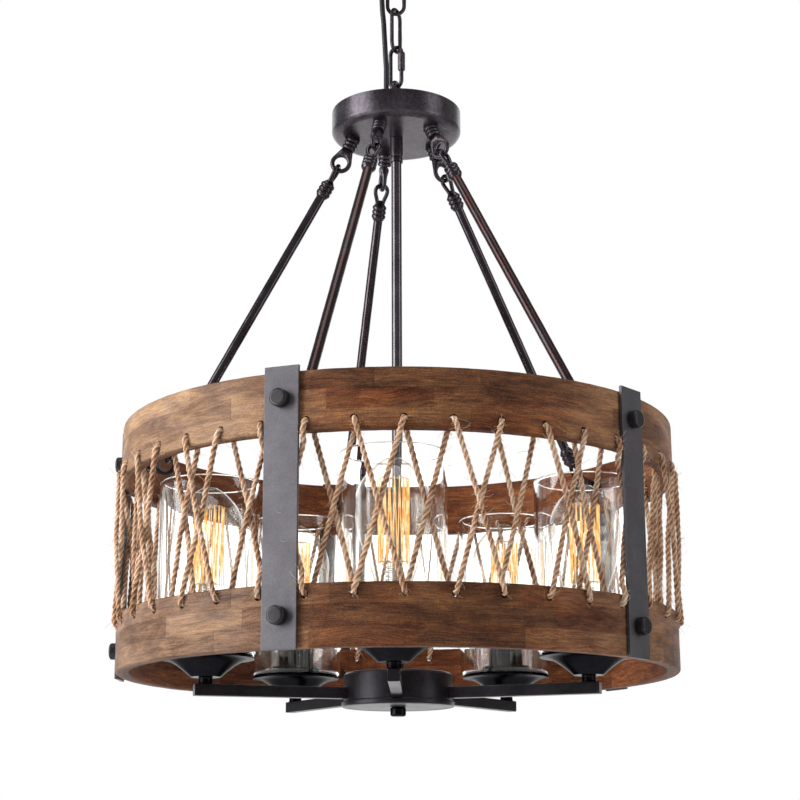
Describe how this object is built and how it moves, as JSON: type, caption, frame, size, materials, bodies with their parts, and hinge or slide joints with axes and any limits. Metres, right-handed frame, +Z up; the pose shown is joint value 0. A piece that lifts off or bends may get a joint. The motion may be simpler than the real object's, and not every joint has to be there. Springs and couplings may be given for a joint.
{
  "type": "drum chandelier",
  "caption": "Drum chandelier: two wood rings joined by iron straps and laced rope hang on rods from a chain-hung hub, round upright lamps in glass shades.",
  "frame": {"origin": "centre of the crossbar's two ceiling box holes, in the ceiling plane that the crossbar and the canopy's rim press against", "axes": "+Z up along the centre pipe, +X to the viewer's right and -Y towards the viewer of the picture; the two box holes lie along X"},
  "size_m": [0.5166, 0.511, 0.775],
  "materials": {
    "bronze": "aged dark bronze, satin, with faint red-brown wear",
    "black_metal": "satin black powder coat",
    "rod_iron": "dark bronze with rust-red tint",
    "strap_iron": "blue-grey blackened iron, mottled",
    "bolt_iron": "blackened iron",
    "zinc": "zinc plated",
    "aged_wood": "weathered brown stain, matt",
    "rope": "natural jute",
    "clear_glass": "clear",
    "bulb_glass": "amber tinted",
    "brass": "bare",
    "black_plastic": "satin",
    "cord_sheath": "black sheath",
    "lead_sheath": "plain",
    "orange_plastic": "plain"
  },
  "bodies": {
    "ceiling": {"crossbar": "zinc", "canopy": "bronze", "canopy_screws": "bronze", "ceiling_eye": "bronze", "ceiling_nipple": "zinc", "canopy_bushing": "black_plastic", "power_cord": "cord_sheath"},
    "link_1": {"chain_link_1": "bronze"},
    "link_2": {"chain_link_2": "bronze"},
    "screw_link": {"quick_link": "bronze"},
    "screw_sleeve": {"quick_link_sleeve": "bronze"},
    "frame": {"hub_eye": "bronze", "hub_cover": "bronze", "hub_pan": "bronze", "hub_bushing": "black_plastic", "hub_nipple": "zinc", "hub_hooks": "bronze", "hook_nuts": "zinc", "pipe_collar": "bronze", "centre_pipe": "bronze", "pipe_coupling": "zinc", "wiring_cup": "black_metal", "cup_lid": "black_metal", "finial": "black_metal", "inner_leads": "lead_sheath", "wire_connectors": "orange_plastic", "arms": "black_metal", "lamp_stems": "black_metal", "lamp_cups": "black_metal", "sockets": "black_plastic", "socket_contacts": "brass", "ring_nuts": "black_plastic", "shade_1": "clear_glass", "shade_2": "clear_glass", "shade_3": "clear_glass", "shade_4": "clear_glass", "shade_5": "clear_glass"},
    "drum": {"upper_ring": "aged_wood", "lower_ring": "aged_wood", "straps": "strap_iron", "strap_bolts": "bolt_iron", "bolt_nuts": "bolt_iron", "drum_eyes": "bolt_iron", "rope_a": "rope", "rope_b": "rope"},
    "rod_1_body": {"rod_1": "rod_iron"},
    "rod_2_body": {"rod_2": "rod_iron"},
    "rod_3_body": {"rod_3": "rod_iron"},
    "rod_4_body": {"rod_4": "rod_iron"},
    "rod_5_body": {"rod_5": "rod_iron"},
    "lamp_bulb_1": {"bulb_1": "bulb_glass", "bulb_core_1": "brass"},
    "lamp_bulb_2": {"bulb_2": "bulb_glass", "bulb_core_2": "brass"},
    "lamp_bulb_3": {"bulb_3": "bulb_glass", "bulb_core_3": "brass"},
    "lamp_bulb_4": {"bulb_4": "bulb_glass", "bulb_core_4": "brass"},
    "lamp_bulb_5": {"bulb_5": "bulb_glass", "bulb_core_5": "brass"}
  },
  "joints": [
    {"name": "ceiling_to_link_1", "type": "hinge", "parent": "ceiling", "child": "link_1", "pos_m": [0, 0, -0.0543], "axis": [0, 1, 0], "range_deg": [-20, 20], "deforming": ["power_cord"]},
    {"name": "link_1_to_link_2", "type": "hinge", "parent": "link_1", "child": "link_2", "pos_m": [0, 0, -0.0941], "axis": [1, 0, 0], "range_deg": [-20, 20]},
    {"name": "link_2_to_screw_link", "type": "hinge", "parent": "link_2", "child": "screw_link", "pos_m": [0, 0, -0.1342], "axis": [0.4848, 0.8746, 0], "range_deg": [-20, 20]},
    {"name": "sleeve_slide", "type": "slide", "parent": "screw_link", "child": "screw_sleeve", "axis": [0, 0, -1], "range_m": [0, 0.008]},
    {"name": "screw_link_to_hub", "type": "hinge", "parent": "screw_link", "child": "frame", "pos_m": [0, 0, -0.172], "axis": [0.809, -0.5878, 0], "range_deg": [-20, 20]},
    {"name": "drum_twist", "type": "hinge", "parent": "frame", "child": "drum", "pos_m": [0, 0, -0.64], "axis": [0, 0, 1], "range_deg": [-7, 7], "stiffness_Nm_per_rad": 1},
    {"name": "rod_1_swing", "type": "hinge", "parent": "frame", "child": "rod_1_body", "pos_m": [-0.02087, -0.05352, -0.25619], "axis": [-0.3184, -0.8166, 0.4815], "range_deg": [-4.7, 4.7]},
    {"name": "rod_2_swing", "type": "hinge", "parent": "frame", "child": "rod_2_body", "pos_m": [0.04446, -0.03639, -0.25619], "axis": [0.6782, -0.5551, 0.4815], "range_deg": [-4.7, 4.7]},
    {"name": "rod_3_swing", "type": "hinge", "parent": "frame", "child": "rod_3_body", "pos_m": [0.04834, 0.03104, -0.25619], "axis": [0.7376, 0.4735, 0.4815], "range_deg": [-4.7, 4.7]},
    {"name": "rod_4_swing", "type": "hinge", "parent": "frame", "child": "rod_4_body", "pos_m": [-0.01458, 0.05557, -0.25619], "axis": [-0.2224, 0.8478, 0.4815], "range_deg": [-4.7, 4.7]},
    {"name": "rod_5_swing", "type": "hinge", "parent": "frame", "child": "rod_5_body", "pos_m": [-0.05735, 0.00331, -0.25619], "axis": [-0.875, 0.0505, 0.4815], "range_deg": [-4.7, 4.7]},
    {"name": "bulb_1_out", "type": "slide", "parent": "frame", "child": "lamp_bulb_1", "axis": [0, 0, 1], "range_m": [0, 0.15]},
    {"name": "bulb_2_out", "type": "slide", "parent": "frame", "child": "lamp_bulb_2", "axis": [0, 0, 1], "range_m": [0, 0.15]},
    {"name": "bulb_3_out", "type": "slide", "parent": "frame", "child": "lamp_bulb_3", "axis": [0, 0, 1], "range_m": [0, 0.15]},
    {"name": "bulb_4_out", "type": "slide", "parent": "frame", "child": "lamp_bulb_4", "axis": [0, 0, 1], "range_m": [0, 0.15]},
    {"name": "bulb_5_out", "type": "slide", "parent": "frame", "child": "lamp_bulb_5", "axis": [0, 0, 1], "range_m": [0, 0.15]}
  ],
  "couplings": [
    {"joint": "rod_1_swing", "follows": "drum_twist", "ratio": 0.66153},
    {"joint": "rod_2_swing", "follows": "drum_twist", "ratio": 0.66153},
    {"joint": "rod_3_swing", "follows": "drum_twist", "ratio": 0.66153},
    {"joint": "rod_4_swing", "follows": "drum_twist", "ratio": 0.66153},
    {"joint": "rod_5_swing", "follows": "drum_twist", "ratio": 0.66153}
  ]
}
